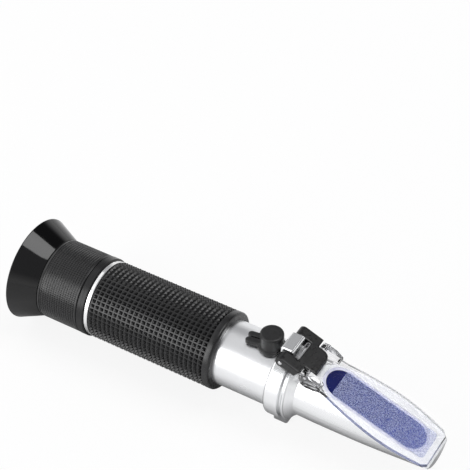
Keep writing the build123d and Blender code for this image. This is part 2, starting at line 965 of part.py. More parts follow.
def tongue_profile():
    """Outline of the web between the arms and of the tongue in front of it."""
    lead_x, lead_z = from_pin(arm_lead)
    front_x, front_z = from_pin(arm_front_top)
    low_x, low_z = from_pin(arm_front_low)
    slope = (front_z - lead_z) / (front_x - lead_x)
    end_z = front_z - face_slope * (tongue_x - front_x)
    under = tongue_thick / face_cos
    out_x, out_z = tongue_fillet
    return [
        (web_x, low_z + web_lift),
        (web_x, front_z + slope * (web_x - front_x)),
        (front_x, front_z),
        (tongue_x, end_z),
        (tongue_x, end_z - under),
        (front_x + out_x, front_z - out_z - under),
        (low_x, low_z),
    ]


def make_hinge_bracket():
    body = side_profile(tongue_profile(), -tongue_half, tongue_half)
    body += crosswise(pivot_x, pivot_z, knuckle_r, -tongue_half, tongue_half)
    length = tongue_x - pin_x
    plan = Pos(tongue_x - length / 2, 0, 0) * Rectangle(length, 2 * tongue_half)
    for order, radius in ((0, tongue_near_round), (-1, tongue_far_round)):
        corner = plan.vertices().group_by(Axis.X)[-1].sort_by(Axis.Y)[order]
        plan = fillet(corner, radius)
    body &= extrude(plan, far)
    for ends in both_sides(arm_in, arm_out):
        arm = side_profile(arm_profile(), *ends)
        body += arm + crosswise(pin_x, pin_z, arm_round, *ends)
    body -= crosswise(pin_x, pin_z, pin_r + run, -far, far)
    for ends in both_sides(tongue_half - pivot_in - seat, far):
        body -= crosswise(pivot_x, pivot_z, pivot_r + seat / 2, *ends)
    return body


def make_leaf_spring():
    back_x = pin_x + spring_at
    front_x = web_x - spring_gap - spring_thick / 2
    low = pin_z - spring_low
    radius = (front_x - back_x) / 2
    loop_y = arm_in - spring_side_gap - radius - spring_thick / 2
    path = [
        Line((back_x, spring_end_y, low), (back_x, loop_y, low)),
        ThreePointArc(
            (back_x, loop_y, low),
            (back_x + radius, loop_y + radius, low),
            (front_x, loop_y, low),
        ),
        Line((front_x, loop_y, low), (front_x, spring_end_y, low)),
    ]
    return extrude(trace(path, spring_thick), spring_w, dir=(0, 0, 1))


def make_plate_pivots():
    stretches = both_sides(tongue_half - pivot_in, ear_out - pivot_sink)
    return Compound([crosswise(pivot_x, pivot_z, pivot_r, *ends) for ends in stretches])


# Daylight plate and diffuser


def pad_outline(grow, low, top):
    """The diffuser pad's rounded rectangle on the slanted face, grown on all sides."""
    x0 = along_face(pad_rear_x) - grow
    x1 = along_face(pad_front_x) + grow
    outline = RectangleRounded(x1 - x0, 2 * (pad_half + grow), pad_round + grow)
    return extrude(face_plane.offset(low) * Pos((x0 + x1) / 2, 0) * outline, top - low)


def make_daylight_plate():
    lean = plate_top * math.sin(face_angle)
    side = [(along_face(x - lean), half) for x, half in plate_outline]
    upper = Spline(*side)
    rear_s, rear_half = side[0]
    front_s, front_half = side[-1]
    edges = [
        upper,
        mirror(upper, Plane.XZ),
        Line((rear_s, rear_half), (rear_s, -rear_half)),
        Line((front_s, front_half), (front_s, -front_half)),
    ]
    plate = extrude(face_plane.offset(plate_low) * make_face(edges), plate_top - plate_low)
    # The nose stands upright, with its corners cut off
    end = plate_nose_half - plate_corner
    rear = (plate_nose_x - far, end + far)
    nose = (plate_nose_x, end)
    plan = Polyline(rear, nose, (nose[0], -end), (rear[0], -rear[1]), close=True)
    plate &= extrude(make_face(plan), far, both=True)
    half = tongue_half + plate_slot_side
    plate -= block(0, plate_slot_x, -half, half, -far, far)
    plate -= pad_outline(pad_gap, 0, pad_top)
    ear = [(pivot_x + x, pivot_z + z) for x, z in ear_outline]
    for ends in both_sides(ear_in, ear_out):
        plate += side_profile(ear, *ends) - rod(0, far, head_r + ear_clear)
    return plate - crosswise(pivot_x, pivot_z, pivot_r + run, -far, far)


def make_diffuser_pad():
    return pad_outline(0, pad_low, pad_top)


pieces = {
    "barrel_tube": make_barrel_tube,
    "trim_ring": make_trim_ring,
    "grip_sleeve": make_grip_sleeve,
    "focus_collar": make_focus_collar,
    "focus_keeper": make_focus_keeper,
    "focus_ring": make_focus_ring,
    "eyecup": make_eyecup,
    "ocular_cell": make_ocular_cell,
    "drive_pin": make_drive_pin,
    "eye_lens": make_eye_lens,
    "field_lens": make_field_lens,
    "lens_spacer": make_lens_spacer,
    "ocular_nut": make_ocular_nut,
    "reticle_mount": make_reticle_mount,
    "reticle_glass": make_reticle_glass,
    "reticle_nut": make_reticle_nut,
    "light_baffle": make_light_baffle,
    "bimetal_mount": make_bimetal_mount,
    "bimetal_screws": make_bimetal_screws,
    "bimetal_strip": make_bimetal_strip,
    "objective_cell": make_objective_cell,
    "objective_lens": make_objective_lens,
    "objective_nut": make_objective_nut,
    "calibration_bush": make_calibration_bush,
    "calibration_screw": make_calibration_screw,
    "calibration_cap": make_calibration_cap,
    "hinge_collar": make_hinge_collar,
    "collar_screws": make_collar_screws,
    "hinge_pin": make_hinge_pin,
    "prism_housing": make_prism_housing,
    "prism": make_prism,
    "prism_seal": make_prism_seal,
    "prism_bed": make_prism_bed,
    "light_shield": make_light_shield,
    "hinge_bracket": make_hinge_bracket,
    "leaf_spring": make_leaf_spring,
    "plate_pivots": make_plate_pivots,
    "daylight_plate": make_daylight_plate,
    "diffuser_pad": make_diffuser_pad,
}

# The origin goes to the bottom centre of the whole part
to_frame = Pos(-(cup_mouth + head_tip_x) / 2, 0, -foot_low)

os.makedirs("parts", exist_ok=True)
for node, make in pieces.items():
    export_step(to_frame * make(), f"parts/{node}.step")
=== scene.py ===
import math

import bmesh
import bpy
from bpy.props import FloatProperty, FloatVectorProperty, IntProperty, PointerProperty
from mathutils import Matrix, Vector
from mathutils.bvhtree import BVHTree


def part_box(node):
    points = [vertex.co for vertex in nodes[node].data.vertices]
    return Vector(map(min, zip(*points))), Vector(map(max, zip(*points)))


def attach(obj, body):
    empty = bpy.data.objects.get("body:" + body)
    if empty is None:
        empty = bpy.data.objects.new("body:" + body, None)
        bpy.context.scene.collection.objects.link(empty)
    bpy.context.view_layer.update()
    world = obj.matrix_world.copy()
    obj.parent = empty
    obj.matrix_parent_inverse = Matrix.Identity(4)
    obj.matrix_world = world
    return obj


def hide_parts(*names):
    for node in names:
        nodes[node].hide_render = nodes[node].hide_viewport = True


bl_info = {
    "name": "Brix refractometer",
    "version": (1, 0, 0),
    "blender": (4, 5, 0),
    "location": "View3D > Sidebar > Refractometer",
    "description": "Dresses the packed hand refractometer in rubber, metal, glass and acrylic",
    "category": "Object",
}

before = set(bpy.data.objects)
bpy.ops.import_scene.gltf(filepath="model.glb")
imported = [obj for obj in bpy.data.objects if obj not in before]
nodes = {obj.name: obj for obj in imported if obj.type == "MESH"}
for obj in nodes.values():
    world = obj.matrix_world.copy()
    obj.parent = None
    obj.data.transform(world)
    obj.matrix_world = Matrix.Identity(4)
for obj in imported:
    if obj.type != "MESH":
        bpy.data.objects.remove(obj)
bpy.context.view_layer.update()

MM = 0.001
# Corners of a CAD mesh that lie this close are one corner, in mm
WELD = 0.001
# How far a stud's foot sinks into the ground that it stands on, in mm
FOOT = 0.02


def place(node):
    """Lowest and highest corner of a CAD node, in millimetres."""
    low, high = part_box(node)
    return low / MM, high / MM


# The optical axis runs along X, in the middle of the barrel
barrel_low, barrel_high = place("barrel_tube")
AXIS_Y = (barrel_low.y + barrel_high.y) / 2
AXIS_Z = (barrel_low.z + barrel_high.z) / 2
# Where the photograph was measured from: 4.5 mm behind the front of the barrel tube
ORIGIN_X = barrel_high.x - 4.5
# Upright on the slanted face of the prism, which leans 0.352 in 1 towards the tip
FACE_LEAN = Vector((0.352, 0, 1)).normalized()


def outer_radius(node):
    """Radius of a round CAD node about the optical axis, in millimetres."""
    low, high = place(node)
    return (high.y - low.y) / 2


# Colours, nodes and meshes


def paint(code):
    """An sRGB hex colour as a linear colour with alpha."""
    parts = [int(code[i : i + 2], 16) / 255 for i in (1, 3, 5)]
    linear = [p / 12.92 if p <= 0.04045 else ((p + 0.055) / 1.055) ** 2.4 for p in parts]
    return (*linear, 1.0)


def add(tree, kind, inputs=None, **settings):
    """Add a node. inputs gives each socket, by name or number, a value or another's output."""
    node = tree.nodes.new(kind)
    for key, value in settings.items():
        setattr(node, key, value)
    for key, value in (inputs or {}).items():
        if isinstance(value, bpy.types.NodeSocket):
            tree.links.new(value, node.inputs[key])
        else:
            node.inputs[key].default_value = value
    return node


def calc(tree, operation, *values, **settings):
    """The result of a math node on these values."""
    inputs = dict(enumerate(values))
    return add(tree, "ShaderNodeMath", inputs, operation=operation, **settings).outputs[0]


def spot_on_piece(tree):
    """X, Y and Z of the shaded spot, in metres and fixed to the piece."""
    where = add(tree, "ShaderNodeTexCoord").outputs["Object"]
    return add(tree, "ShaderNodeSeparateXYZ", {0: where}).outputs


def new_finish(name, colour, **values):
    """A material with one Principled shader.

    values go straight onto its sockets. Where a pattern drives a socket, the value is what a
    viewer without nodes shows.
    """
    finish = bpy.data.materials.new(name)
    finish.use_nodes = True
    tree = finish.node_tree
    shader = tree.nodes["Principled BSDF"]
    shader.inputs["Base Color"].default_value = colour
    for key, value in values.items():
        socket = key.replace("_", " ").title().replace("Ior", "IOR")
        shader.inputs[socket].default_value = value
    return finish, tree, shader


def speckle(tree, size, detail=2.0, stretch=(1, 1, 1)):
    """Soft spots about size millimetres across, fixed to the piece."""
    scale = [s / (size * MM) for s in stretch]
    where = add(tree, "ShaderNodeTexCoord").outputs["Object"]
    where = add(tree, "ShaderNodeMapping", {"Vector": where, "Scale": scale}).outputs[0]
    inputs = {"Vector": where, "Scale": 1.0, "Detail": detail}
    return add(tree, "ShaderNodeTexNoise", inputs).outputs[0]


def between(tree, source, low, high, start=0.3, end=0.7):
    """source stretched from start..end to low..high."""
    inputs = {"Value": source, "From Min": start, "From Max": end, "To Min": low, "To Max": high}
    return add(tree, "ShaderNodeMapRange", inputs).outputs[0]


def blend_colours(tree, share, first, second):
    """first where share is 0, second where it is 1."""
    # Of the mix node's many sockets, 6 and 7 and output 2 are those for colours
    inputs = {0: share, 6: first, 7: second}
    return add(tree, "ShaderNodeMix", inputs, data_type="RGBA").outputs[2]


def vary_roughness(tree, shader, pattern, low, high, start=0.3, end=0.7):
    """Roughness from low to high where the pattern goes from start to end."""
    tree.links.new(between(tree, pattern, low, high, start, end), shader.inputs["Roughness"])


def vary_colour(tree, shader, share, first, second):
    """Base colour from first, where share is 0, to second, where it is 1."""
    tree.links.new(blend_colours(tree, share, first, second), shader.inputs["Base Color"])


def grainy(tree, shader, height, depth):
    """Raise the surface by depth millimetres where height is 1."""
    bump = add(tree, "ShaderNodeBump", {"Height": height, "Distance": depth * MM, "Strength": 1.0})
    tree.links.new(bump.outputs[0], shader.inputs["Normal"])


def show(tree, share, first, second):
    """Show the shader first where share is 0, and second where it is 1."""
    inputs = {0: share, 1: first.outputs[0], 2: second.outputs[0]}
    mix = add(tree, "ShaderNodeMixShader", inputs)
    tree.links.new(mix.outputs[0], tree.nodes["Material Output"].inputs["Surface"])
    return mix


def coat_node(node, finish):
    """Give a CAD node its finish."""
    data = nodes[node].data
    if data.materials:
        for index in range(len(data.materials)):
            data.materials[index] = finish
    else:
        data.materials.append(finish)
    for slot in nodes[node].material_slots:
        slot.material = finish


def new_piece(name, mesh, finish):
    """An object at the origin with this mesh and finish."""
    piece = bpy.data.objects.new(name, mesh)
    bpy.context.scene.collection.objects.link(piece)
    mesh.materials.clear()
    mesh.materials.append(finish)
    return piece


def settle(piece):
    """Turn a piece with live modifiers into a plain mesh."""
    graph = bpy.context.evaluated_depsgraph_get()
    mesh = bpy.data.meshes.new_from_object(piece.evaluated_get(graph))
    piece.modifiers.clear()
    piece.data = mesh
    return piece


def smooth(mesh, angle=35.0):
    """Smooth shading with the edges over angle degrees kept sharp."""
    mesh.polygons.foreach_set("use_smooth", [True] * len(mesh.polygons))
    mesh.set_sharp_from_angle(angle=math.radians(angle))
    mesh.update()


def eased(outline, steps):
    """An outline of (x, radius, ease), each corner rounded off from ease millimetres away."""
    points = []
    count = len(outline)
    for index, (x, r, ease) in enumerate(outline):
        corner = Vector((x, r))
        if not ease:
            points.append(corner)
            continue
        before = Vector(outline[index - 1][:2])
        after = Vector(outline[(index + 1) % count][:2])
        start = corner + (before - corner).normalized() * ease
        end = corner + (after - corner).normalized() * ease
        for step in range(steps + 1):
            t = step / steps
            points.append((1 - t) ** 2 * start + 2 * t * (1 - t) * corner + t**2 * end)
    return points


def turned(name, outline, around=192, steps=5):
    """Body of revolution about the optical axis from a closed (x, radius, ease) outline in mm."""
    points = eased(outline, steps)
    build = bmesh.new()
    rings = []
    for turn in range(around):
        angle = 2 * math.pi * turn / around
        sine, cosine = math.sin(angle), math.cos(angle)
        spots = [(p.x, AXIS_Y - p.y * sine, AXIS_Z + p.y * cosine) for p in points]
        rings.append([build.verts.new([v * MM for v in spot]) for spot in spots])
    count = len(points)
    for turn in range(around):
        this, following = rings[turn], rings[(turn + 1) % around]
        for index in range(count):
            upper = (index + 1) % count
            build.faces.new((this[index], this[upper], following[upper], following[index]))
    bmesh.ops.recalc_face_normals(build, faces=build.faces)
    mesh = bpy.data.meshes.new(name)
    build.to_mesh(mesh)
    build.free()
    smooth(mesh)
    return mesh


def joined_copy(node, name, flat=None):
    """A new mesh like a CAD node's, with its loose triangles joined.

    Where flat is given, faces that meet at less than flat degrees become one face.
    """
    build = bmesh.new()
    build.from_mesh(nodes[node].data)
    bmesh.ops.remove_doubles(build, verts=build.verts, dist=WELD * MM)
    if flat is not None:
        bmesh.ops.dissolve_limit(
            build, angle_limit=math.radians(flat), verts=build.verts, edges=build.edges
        )
    mesh = bpy.data.meshes.new(name)
    build.to_mesh(mesh)
    build.free()
    return mesh


def close_pocket(mesh, filler, reach=0.2, margin=0.05):
    """Close the pocket of a mesh that the CAD node filler lies in.

    The pocket's faces lie within reach of the filler and more than margin above its underside,
    both in millimetres.
    """
    pad = nodes[filler].data
    points = [vertex.co for vertex in pad.vertices]
    tree = BVHTree.FromPolygons(points, [tuple(face.vertices) for face in pad.polygons])
    floor = min(FACE_LEAN.dot(point) for point in points) + margin * MM
    build = bmesh.new()
    build.from_mesh(mesh)
    pocket = []
    for face in build.faces:
        middle = face.calc_center_median()
        if FACE_LEAN.dot(middle) > floor and tree.find_nearest(middle)[3] < reach * MM:
            pocket.append(face)
    bmesh.ops.delete(build, geom=pocket, context="FACES")
    rim = [edge for edge in build.edges if edge.is_boundary]
    bmesh.ops.holes_fill(build, edges=rim, sides=0)
    bmesh.ops.recalc_face_normals(build, faces=build.faces)
    build.to_mesh(mesh)
    build.free()


def edged_copy(node, name, finish, width, filler=None):
    """A CAD node's shape with its sharp edges rounded by width millimetres.

    Where a filler is named, the pocket that it lies in is closed first.
    """
    mesh = joined_copy(node, name, flat=1.0)
    if filler:
        close_pocket(mesh, filler)
    piece = new_piece(name, mesh, finish)
    bevel = piece.modifiers.new("edges", "BEVEL")
    bevel.width = width * MM
    bevel.segments = 3
    bevel.limit_method = "ANGLE"
    bevel.angle_limit = math.radians(30)
    bevel.use_clamp_overlap = True
    settle(piece)
    smooth(piece.data, angle=40)
    # Flat faces keep their own normal, so that they mirror and bend light like flat faces
    flatten = piece.modifiers.new("normals", "WEIGHTED_NORMAL")
    flatten.mode = "FACE_AREA"
    flatten.weight = 100
    flatten.keep_sharp = True
    return settle(piece)


def moulded_copy(node, name, finish, voxel, rounds):
    """A CAD node's shape as a soft moulding: remeshed finely, then every edge smoothed round."""
    piece = new_piece(name, joined_copy(node, name), finish)
    remesh = piece.modifiers.new("skin", "REMESH")
    remesh.mode = "VOXEL"
    remesh.voxel_size = voxel * MM
    remesh.use_smooth_shade = True
    relax = piece.modifiers.new("relax", "SMOOTH")
    relax.factor = 0.5
    relax.iterations = rounds
    settle(piece)
    piece.data.polygons.foreach_set("use_smooth", [True] * len(piece.data.polygons))
    return piece


def stand_in(piece, body, slot, *replaced):
    """Fix a finished piece to its body, in place of the CAD nodes that it replaces."""
    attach(piece, body)
    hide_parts(*replaced)


# Finishes. Each says what the real surface is and what that gives the eye. Blasted, moulded and
# frosted grains are about 0.1 mm or finer. They are drawn at 0.2 to 0.5 mm, or they wouldn't show


def satin_aluminium(colour):
    """Bead-blasted, clear-anodised aluminium: wide soft highlights over a very fine grain."""
    finish, tree, shader = new_finish(
        "satin anodised aluminium", colour, metallic=1.0, roughness=0.3
    )
    vary_roughness(tree, shader, speckle(tree, size=14.0), 0.27, 0.34)
    grainy(tree, shader, speckle(tree, size=0.3, detail=3.0), depth=0.004)
    return finish


def blasted_casting(colour, face_colour):
    """Plated die casting: bright and smooth, its slanted face blasted to a sparkling grey."""
    finish, tree, shader = new_finish("satin plated casting", colour, metallic=1.0, roughness=0.28)
    normal = add(tree, "ShaderNodeNewGeometry").outputs["True Normal"]
    facing = add(tree, "ShaderNodeVectorMath", {0: normal, 1: FACE_LEAN}, operation="DOT_PRODUCT")
    on_face = between(tree, facing.outputs["Value"], 0.0, 1.0, 0.995, 0.999)
    grit = speckle(tree, size=0.28, detail=4.0)
    spots = blend_colours(tree, between(tree, grit, 0.0, 1.0), face_colour, colour)
    vary_colour(tree, shader, on_face, colour, spots)
    vary_roughness(tree, shader, on_face, 0.27, 0.5, 0.0, 1.0)
    grainy(tree, shader, calc(tree, "MULTIPLY", grit, on_face), depth=0.03)
    return finish


def polished_trim(colour):
    """Turned and polished aluminium ring: nearly white, with faint turning lines round it."""
    finish, tree, shader = new_finish(
        "polished aluminium trim", colour, metallic=1.0, roughness=0.2
    )
    lines = speckle(tree, size=1.0, detail=1.0, stretch=(8.0, 0.05, 0.05))
    vary_roughness(tree, shader, lines, 0.16, 0.26)
    return finish


def grip_rubber(colour, worn):
    """Moulded black rubber: dull, a little greyer where it has been handled."""
    finish, tree, shader = new_finish("moulded grip rubber", colour, roughness=0.3, ior=1.52)
    handled = between(tree, speckle(tree, size=7.0, detail=3.0), 0, 1)
    vary_colour(tree, shader, handled, colour, worn)
    vary_roughness(tree, shader, speckle(tree, size=1.5, detail=3.0), 0.24, 0.36)
    grainy(tree, shader, speckle(tree, size=0.2), depth=0.006)
    return finish


def ring_plastic(colour):
    """Injection-moulded black ABS with a satin tool finish: soft sheen, fine even texture."""
    finish, tree, shader = new_finish("satin black abs", colour, roughness=0.32, ior=1.54)
    vary_roughness(tree, shader, speckle(tree, size=4.0, detail=3.0), 0.27, 0.37)
    grainy(tree, shader, speckle(tree, size=0.15), depth=0.006)
    return finish


def eyecup_rubber(colour):
    """Glossy soft vinyl: deep black with clear mirror-like reflections that waver a little."""
    finish, tree, shader = new_finish("glossy soft vinyl", colour, roughness=0.07, ior=1.43)
    vary_roughness(tree, shader, speckle(tree, size=3.0, detail=4.0), 0.045, 0.11)
    grainy(tree, shader, speckle(tree, size=9.0, detail=1.0), depth=0.02)
    return finish


def cap_rubber(colour, worn):
    """Matte silicone rubber: dull black, dusty grey on its high spots."""
    finish, tree, shader = new_finish("matte silicone rubber", colour, roughness=0.4)
    dust = speckle(tree, size=0.9, detail=4.0)
    vary_colour(tree, shader, between(tree, dust, 0, 1), colour, worn)
    vary_roughness(tree, shader, dust, 0.34, 0.48)
    grainy(tree, shader, speckle(tree, size=0.18), depth=0.008)
    return finish


def bracket_plastic(colour):
    """Glass-filled nylon: matte charcoal with a fine sparked mould texture."""
    finish, tree, shader = new_finish("glass filled nylon", colour, roughness=0.3)
    vary_roughness(tree, shader, speckle(tree, size=1.2, detail=4.0), 0.25, 0.36)
    grainy(tree, shader, speckle(tree, size=0.2, detail=3.0), depth=0.006)
    return finish


def black_anodised(colour):
    """Black anodised aluminium, as turned: dark satin with faint rings."""
    finish, tree, shader = new_finish(
        "black anodised aluminium", colour, metallic=0.35, roughness=0.32
    )
    rings = speckle(tree, size=1.0, detail=1.0, stretch=(6.0, 0.04, 0.04))
    vary_roughness(tree, shader, rings, 0.26, 0.38)
    return finish


def bright_steel(colour):
    """Drawn stainless steel: bright, with fine lines along its length."""
    finish, tree, shader = new_finish("drawn stainless steel", colour, metallic=1.0, roughness=0.22)
    lines = speckle(tree, size=0.3, stretch=(1.0, 0.06, 1.0))
    vary_roughness(tree, shader, lines, 0.16, 0.3)
    grainy(tree, shader, lines, depth=0.003)
    return finish


def turned_brass(colour, tarnished):
    """Free-cutting brass, as turned: warm, dulled by a little tarnish."""
    finish, tree, shader = new_finish("turned brass", colour, metallic=1.0, roughness=0.25)
    tarnish = between(tree, speckle(tree, size=1.8, detail=4.0), 0, 1, 0.45, 0.75)
    vary_colour(tree, shader, tarnish, colour, tarnished)
    vary_roughness(tree, shader, tarnish, 0.2, 0.42, 0, 1)
    return finish


def rolled_bimetal(colour, upper):
    """Rolled bimetal strip: grey below and yellowish on top, with rolling lines along it."""
    finish, tree, shader = new_finish("rolled bimetal strip", colour, metallic=1.0, roughness=0.3)
    lines = speckle(tree, size=0.5, stretch=(0.05, 1.0, 1.0))
    normal = add(tree, "ShaderNodeNewGeometry").outputs["True Normal"]
    up = add(tree, "ShaderNodeSeparateXYZ", {0: normal}).outputs[2]
    vary_colour(tree, shader, between(tree, up, 0, 1, -0.2, 0.2), colour, upper)
    vary_roughness(tree, shader, lines, 0.24, 0.36)
    return finish


def coated_glass(colour):
    """Coated optical glass: clear and mirror smooth, with a faint blue-green tint."""
    finish, tree, shader = new_finish(
        "coated optical glass", colour, roughness=0.02, transmission_weight=1.0, ior=1.52
    )
    vary_roughness(tree, shader, speckle(tree, size=2.0), 0.01, 0.03)
    return finish


def etched_glass(colour, ink, pitch, extent):
    """Reticle glass: clear, with a scale of thin dark lines up the middle of one face."""
    finish, tree, shader = new_finish(
        "etched reticle glass", colour, roughness=0.02, transmission_weight=1.0, ior=1.52
    )
    along, across, height = spot_on_piece(tree)
    aside = calc(tree, "ABSOLUTE", calc(tree, "SUBTRACT", across, AXIS_Y * MM))
    up = calc(tree, "SUBTRACT", height, AXIS_Z * MM)
    inked = calc(tree, "LESS_THAN", calc(tree, "ABSOLUTE", up), extent * MM)
    # Only the face towards the eye is etched
    low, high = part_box("reticle_glass")
    face = calc(tree, "LESS_THAN", along, (low.x + high.x) / 2)
    inked = calc(tree, "MULTIPLY", inked, face)
    # Every fifth line is longer. Each row has the step, its inked share and half a line's length
    lines = []
    for step, share, reach in ((pitch, 0.24, 0.7), (pitch * 5, 0.05, 1.4)):
        phase = calc(tree, "FRACT", calc(tree, "DIVIDE", up, step * MM))
        line = calc(tree, "LESS_THAN", phase, share)
        lines.append(calc(tree, "MULTIPLY", line, calc(tree, "LESS_THAN", aside, reach * MM)))
    inked = calc(tree, "MULTIPLY", inked, calc(tree, "MAXIMUM", *lines))
    vary_colour(tree, shader, inked, colour, ink)
    clear = calc(tree, "SUBTRACT", 1.0, inked)
    tree.links.new(clear, shader.inputs["Transmission Weight"])
    vary_roughness(tree, shader, inked, 0.02, 0.5, 0.0, 1.0)
    return finish


def clear_acrylic(colour):
    """Moulded clear acrylic: water clear and glossy, with faint flow marks from the mould."""
    finish, tree, shader = new_finish(
        "moulded clear acrylic", colour, roughness=0.03, transmission_weight=1.0, ior=1.49
    )
    vary_roughness(tree, shader, speckle(tree, size=5.0), 0.015, 0.06)
    # Lamps shine through it, as through the real plate, with little shade
    shadow = add(tree, "ShaderNodeLightPath").outputs["Is Shadow Ray"]
    clear = add(tree, "ShaderNodeBsdfTransparent", {"Color": (0.95, 0.95, 0.96, 1.0)})
    show(tree, shadow, shader, clear)
    return finish


def frosted_acrylic(colour, pits):
    """Frosted acrylic film: a milky veil with a fine sparkling grain over what lies below."""
    finish, tree, shader = new_finish("frosted acrylic", colour, roughness=0.55)
    grit = between(tree, speckle(tree, size=0.46, detail=1.0), 0, 1, 0.4, 0.6)
    tree.links.new(between(tree, grit, 0.05, 0.33, 0, 1), shader.inputs["Alpha"])
    vary_colour(tree, shader, grit, pits, colour)
    grainy(tree, shader, grit, depth=0.02)
    return finish


def prism_glass(deep, light):
    """Polished optical glass over a dark bed: inky blue that lightens towards the tip."""
    finish, tree, shader = new_finish("polished prism glass", deep, roughness=0.04, ior=1.62)
    low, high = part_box("prism")
    share = between(tree, spot_on_piece(tree)[0], 0, 1, low.x, high.x)
    cloud = between(tree, speckle(tree, size=6.0), -0.12, 0.12)
    share = calc(tree, "ADD", share, cloud, use_clamp=True)
    vary_colour(tree, shader, share, deep, light)
    vary_roughness(tree, shader, speckle(tree, size=3.0), 0.02, 0.06)
    return finish


def seal_cement(colour, cloudy):
    """White optical cement round the prism: smooth, dull, with a lavender cast."""
    finish, tree, shader = new_finish("white optical cement", colour, roughness=0.4)
    cloud = between(tree, speckle(tree, size=2.5, detail=3.0), 0, 1)
    vary_colour(tree, shader, cloud, colour, cloudy)
    grainy(tree, shader, speckle(tree, size=0.5, detail=3.0), depth=0.01)
    return finish


def bed_foam(colour):
    """Closed-cell foam pad under the prism: dull black with small cells."""
    finish, tree, shader = new_finish("closed cell foam", colour, roughness=0.9)
    cells = speckle(tree, size=0.6, detail=3.0)
    vary_roughness(tree, shader, cells, 0.8, 0.95)
    grainy(tree, shader, cells, depth=0.05)
    return finish


# Studs that repeat round a sleeve

STUDS = "Studs round a sleeve"
STUD_SOCKETS = {
    "Sleeve": "Geometry",
    "Rows": "Int",
    "Studs around": "Int",
    "First row": "Float",
    "Row pitch": "Float",
    "Root radius": "Float",
    "Axis height": "Float",
    "Stud size": "Vector",
    "Top share": "Float",
    "Finish": "Material",
}


def stud_tree():
    """Geometry nodes: rows of flat-topped pyramids standing round a sleeve."""
    tree = bpy.data.node_groups.new(STUDS, "GeometryNodeTree")
    for name, kind in STUD_SOCKETS.items():
        tree.interface.new_socket(name, in_out="INPUT", socket_type="NodeSocket" + kind)
    tree.interface.new_socket("Sleeve", in_out="OUTPUT", socket_type="NodeSocketGeometry")
    given = add(tree, "NodeGroupInput").outputs
    around, radius = given["Studs around"], given["Root radius"]
    # One point for each stud, ring after ring
    count = calc(tree, "MULTIPLY", given["Rows"], around)
    inputs = {"Count": count, "Offset": (0, 0, 0)}
    line = add(tree, "GeometryNodeMeshLine", inputs, mode="OFFSET")
    index = add(tree, "GeometryNodeInputIndex").outputs[0]
    row = calc(tree, "FLOOR", calc(tree, "DIVIDE", index, around))
    turn = calc(tree, "DIVIDE", calc(tree, "MODULO", index, around), around)
    angle = calc(tree, "MULTIPLY", turn, 2 * math.pi)
    along = calc(tree, "MULTIPLY_ADD", row, given["Row pitch"], given["First row"])
    up = calc(tree, "MULTIPLY_ADD", calc(tree, "COSINE", angle), radius, given["Axis height"])
    side = calc(tree, "MULTIPLY", calc(tree, "SINE", angle), radius)
    side = calc(tree, "MULTIPLY", side, -1.0)
    spot = add(tree, "ShaderNodeCombineXYZ", {0: along, 1: side, 2: up}).outputs[0]
    inputs = {"Geometry": line.outputs[0], "Position": spot}
    points = add(tree, "GeometryNodeSetPosition", inputs).outputs[0]
    # A cone with four sides is a pyramid. Its radius runs to the corners of a unit square
    corner = math.sqrt(0.5)
    top = calc(tree, "MULTIPLY", given["Top share"], corner)
    inputs = {"Vertices": 4, "Radius Top": top, "Radius Bottom": corner, "Depth": 1.0}
    stud = add(tree, "GeometryNodeMeshCone", inputs).outputs["Mesh"]
    inputs = {"Geometry": stud, "Rotation": (0, 0, math.pi / 4)}
    stud = add(tree, "GeometryNodeTransform", inputs).outputs[0]
    inputs = {"Geometry": stud, "Scale": given["Stud size"]}
    stud = add(tree, "GeometryNodeTransform", inputs).outputs[0]
    lean = add(tree, "ShaderNodeCombineXYZ", {0: angle}).outputs[0]
    inputs = {"Points": points, "Instance": stud, "Rotation": lean}
    studs = add(tree, "GeometryNodeInstanceOnPoints", inputs).outputs[0]
    studs = add(tree, "GeometryNodeRealizeInstances", {0: studs}).outputs[0]
    both = add(tree, "GeometryNodeJoinGeometry", {0: given["Sleeve"]})
    tree.links.new(studs, both.inputs[0])
    inputs = {"Geometry": both.outputs[0], "Material": given["Finish"]}
    coated = add(tree, "GeometryNodeSetMaterial", inputs)
    add(tree, "NodeGroupOutput", {0: coated.outputs[0]})
    return tree


def studded(name, sleeve, finish, studs, first, pitch, ground, size):
    """A sleeve mesh with studs on it, as one plain mesh.

    studs holds their settings. In millimetres, first is where the first ring lies, pitch the way to
    the next, ground the radius that they stand on and size a stud along, round and off the axis.
    """
    values = {
        "Rows": studs.rows,
        "Studs around": studs.around,
        "First row": first * MM,
        "Row pitch": pitch * MM,
        "Root radius": (ground - FOOT) * MM,
        "Axis height": AXIS_Z * MM,
        "Stud size": [v * MM for v in size],
        "Top share": studs.top,
        "Finish": finish,
    }
    tree = bpy.data.node_groups.get(STUDS) or stud_tree()
    piece = new_piece(name, sleeve, finish)
    modifier = piece.modifiers.new("studs", "NODES")
    modifier.node_group = tree
    items = [item for item in tree.interface.items_tree if item.in_out == "INPUT"]
    identifiers = {item.name: item.identifier for item in items}
    for key, value in values.items():
        modifier[identifiers[key]] = value
    return settle(piece)


# Sizes and colours that a user would change


def real(name, about, value, **more):
    """A property that holds any number."""
    return FloatProperty(name=name, description=about, default=value, **more)


def whole(name, about, value, lowest):
    """A property that holds a whole number."""
    return IntProperty(name=name, description=about, default=value, min=lowest)


def length(name, about, value):
    """A length property, in millimetres."""
    return real(name, about + ", in millimetres", value)


def rounding(edge, value):
    """A length property for how much an edge is rounded."""
    return length(edge.capitalize(), "Rounding of the " + edge, value)


def share_of(name, about, value):
    """A share property, from 0 to 1."""
    return real(name, about, value, min=0, max=1, subtype="FACTOR")


def turn_by(name, about, degrees):
    """An angle property with its default in degrees."""
    return real(name, about, math.radians(degrees), subtype="ANGLE")


def tint(name, about, code):
    """A colour property with an sRGB hex default."""
    return FloatVectorProperty(
        name=name, description=about, subtype="COLOR", size=4, min=0, max=1, default=paint(code)
    )


